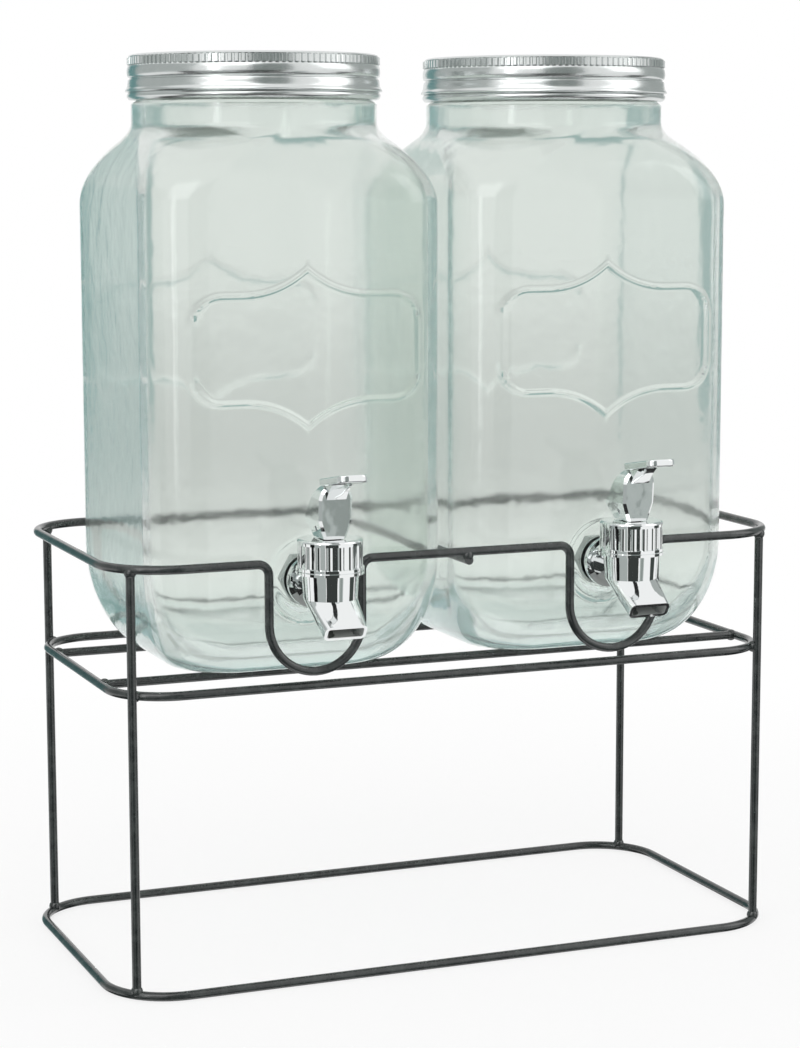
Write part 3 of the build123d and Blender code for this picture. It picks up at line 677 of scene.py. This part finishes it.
# Cards round the object: azimuths from the front in degrees, heights and colour. Mirrors see the first
# group, as the dark stripes of chrome, the soft ones of lids and the sheen of the glass. Light through
# glass sees the second group, at the edges of the jars.
CARD_DISTANCE = 2.5
CARD_STEP = 5.0
REFLECTED_CARDS = {
    "card_left_stripe": ((-90.0, -74.0), (-1.3, -0.08), (0.01, 0.01, 0.01)),
    "card_left_grey": ((-74.0, -38.0), (-1.3, -0.08), (0.42, 0.45, 0.44)),
    "card_middle_stripe": ((-36.0, 8.0), (-1.3, -0.08), (0.045, 0.05, 0.048)),
    "card_lever_low": ((14.0, 18.3), (-1.3, -0.3), (0.46, 0.5, 0.485)),
    "card_lever_middle": ((18.3, 27.7), (-1.3, -0.3), (0.30, 0.335, 0.32)),
    "card_lever_high": ((27.7, 31.0), (-1.3, -0.3), (0.46, 0.5, 0.485)),
    "card_right_stripe": ((64.0, 90.0), (-1.3, -0.08), (0.06, 0.07, 0.065)),
    "card_left_face": ((-174.0, -150.0), (-0.9, 1.3), (0.15, 0.31, 0.31)),
    "card_below": ((-180.0, 180.0), (-4.0, -1.5), (0.03, 0.03, 0.03)),
    "card_lid_middle": ((-24.0, 14.0), (-0.06, 2.4), (0.26, 0.29, 0.28)),
    "card_lid_right": ((80.0, 135.0), (-0.06, 2.4), (0.42, 0.45, 0.44)),
    "card_lid_left": ((-150.0, -75.0), (-0.06, 2.4), (0.5, 0.53, 0.52)),
}
EDGE_TINT = (0.28, 0.41, 0.41)
EDGE_CARDS = {
    "card_edge_right": ((122.0, 144.0), (-0.6, 1.4), EDGE_TINT),
    "card_edge_left": ((174.0, 194.0), (-0.6, 1.4), EDGE_TINT),
    "card_edge_top": ((120.0, 196.0), (0.75, 1.5), EDGE_TINT),
}


def make_floor():
    """A pale floor that the camera sees as white but for the shadow, and that looks greyer through glass."""
    half = FLOOR_SIZE / 2
    corners = [(-half, -half), (half, -half), (half, half), (-half, half)]
    floor = mesh_object("floor", [(x, y, -FLOOR_DROP) for x, y in corners], [(0, 1, 2, 3)])
    floor.visible_glossy = False
    material, tree, shader = new_material("pale_floor")
    shader.inputs["Base Color"].default_value = (*FLOOR_COLOUR, 1.0)
    shader.inputs["Roughness"].default_value = FLOOR_ROUGHNESS
    shader.inputs["Specular IOR Level"].default_value = FLOOR_SPECULAR
    white = tree.nodes.new("ShaderNodeEmission")
    place = tree.nodes.new("ShaderNodeNewGeometry")
    length = tree.nodes.new("ShaderNodeVectorMath")
    length.operation = "LENGTH"
    tree.links.new(place.outputs["Position"], length.inputs[0])
    away = length.outputs["Value"]
    direct, through = looking_rays(tree)
    near = spread(tree, away, FLOOR_NEAR_FADE, FLOOR_NEAR_LEVEL)
    level = combine(tree, "MAXIMUM", near, spread(tree, away, FLOOR_FAR_FADE, FLOOR_FAR_LEVEL))
    level = combine(tree, "MAXIMUM", combine(tree, "MULTIPLY", through, level), direct)
    tree.links.new(level, white.inputs["Strength"])
    direct = combine(tree, "MULTIPLY", direct, spread(tree, away, FLOOR_FADE, FLOOR_WHITE))
    through = combine(tree, "MULTIPLY", through, FLOOR_THROUGH_GLASS_SHARE)
    mix = tree.nodes.new("ShaderNodeMixShader")
    tree.links.new(combine(tree, "MAXIMUM", direct, through), mix.inputs["Fac"])
    tree.links.new(shader.outputs["BSDF"], mix.inputs[1])
    tree.links.new(white.outputs["Emission"], mix.inputs[2])
    tree.links.new(mix.outputs["Shader"], tree.nodes["Material Output"].inputs["Surface"])
    floor.data.materials.append(material)


def looking_rays(tree):
    """1 for rays that the camera sends straight or by a mirror, and 1 for those it sends through glass."""
    ray = tree.nodes.new("ShaderNodeLightPath")
    through = ray.outputs["Is Transmission Ray"]
    mirrored = combine(tree, "SUBTRACT", ray.outputs["Is Glossy Ray"], through)
    return combine(tree, "MAXIMUM", ray.outputs["Is Camera Ray"], mirrored), through


def make_world():
    """Soft studio light: white where the camera or metal sees past the object, less through glass."""
    world = bpy.data.worlds.new("studio")
    bpy.context.scene.world = world
    world.use_nodes = True
    tree = world.node_tree
    light = tree.nodes["Background"]
    light.inputs["Color"].default_value = (1.0, 1.0, 1.0, 1.0)
    direct, through = looking_rays(tree)
    level = combine(tree, "MULTIPLY", through, THROUGH_GLASS_LEVEL - WORLD_LEVEL)
    level = combine(tree, "MAXIMUM", combine(tree, "ADD", level, WORLD_LEVEL), direct)
    tree.links.new(level, light.inputs["Strength"])


def make_lamp(name, place, size, power):
    """A soft rectangular lamp aimed at the object."""
    lamp = bpy.data.lights.new(name, "AREA")
    lamp.shape = "RECTANGLE"
    lamp.size, lamp.size_y = size
    lamp.energy = power
    thing = bpy.data.objects.new(name, lamp)
    thing.location = place
    thing.rotation_euler = (Vector(LAMP_TARGET) - Vector(place)).to_track_quat("-Z", "Y").to_euler()
    bpy.context.scene.collection.objects.link(thing)


def make_card(name, azimuths, heights, colour):
    """A curved card of one even colour that neither the camera nor the light on the object meets."""
    count = round((azimuths[1] - azimuths[0]) / CARD_STEP) + 2
    turn = np.radians(np.linspace(*azimuths, count))
    x, y = CARD_DISTANCE * np.sin(turn), -CARD_DISTANCE * np.cos(turn)
    points = [(a, b, z) for z in heights for a, b in zip(x, y)]
    faces = [(n, n + 1, n + 1 + count, n + count) for n in range(count - 1)]
    card = mesh_object(name, points, faces)
    card.visible_camera = False
    card.visible_diffuse = False
    card.visible_shadow = False
    material, tree, shader = new_material(name)
    plain = tree.nodes.new("ShaderNodeEmission")
    plain.inputs["Color"].default_value = (*colour, 1.0)
    tree.nodes.remove(shader)
    return card, material, tree, plain


def make_reflected_card(name, azimuths, heights, colour):
    """A card that only mirrors see from outside the glass."""
    card, material, tree, plain = make_card(name, azimuths, heights, colour)
    card.visible_transmission = False
    clear = tree.nodes.new("ShaderNodeBsdfTransparent")
    ray = tree.nodes.new("ShaderNodeLightPath")
    mix = tree.nodes.new("ShaderNodeMixShader")
    tree.links.new(ray.outputs["Transmission Depth"], mix.inputs["Fac"])
    tree.links.new(plain.outputs["Emission"], mix.inputs[1])
    tree.links.new(clear.outputs["BSDF"], mix.inputs[2])
    tree.links.new(mix.outputs["Shader"], tree.nodes["Material Output"].inputs["Surface"])
    card.data.materials.append(material)


def make_edge_card(name, azimuths, heights, colour):
    """A card that is seen only through glass."""
    card, material, tree, plain = make_card(name, azimuths, heights, colour)
    card.visible_glossy = False
    tree.links.new(plain.outputs["Emission"], tree.nodes["Material Output"].inputs["Surface"])
    card.data.materials.append(material)


def make_camera():
    """The camera, placed as the photograph's was."""
    lens = bpy.data.cameras.new("camera")
    lens.sensor_width = SENSOR
    lens.lens = SENSOR * FOCAL_PIXELS / PHOTO_HEIGHT
    camera = bpy.data.objects.new("camera", lens)
    turn = Euler((radians(90 - CAMERA_DOWN), 0.0, radians(CAMERA_TURN))).to_matrix()
    roll = Matrix.Rotation(radians(CAMERA_ROLL), 3, "Z")
    camera.matrix_world = (turn @ roll).to_4x4()
    camera.location = CAMERA_PLACE
    bpy.context.scene.collection.objects.link(camera)
    bpy.context.scene.camera = camera


dress_cad_nodes()
for side in SIDES:
    line_spout(side)
    make_jar(side)
    make_lid(side)
    make_spring(side)
make_floor()
make_world()
for name, (place, size, power) in LAMPS.items():
    make_lamp(name, place, size, power)
for name, (azimuths, heights, colour) in REFLECTED_CARDS.items():
    make_reflected_card(name, azimuths, heights, colour)
for name, (azimuths, heights, colour) in EDGE_CARDS.items():
    make_edge_card(name, azimuths, heights, colour)
make_camera()
bpy.context.scene.view_settings.view_transform = "Standard"
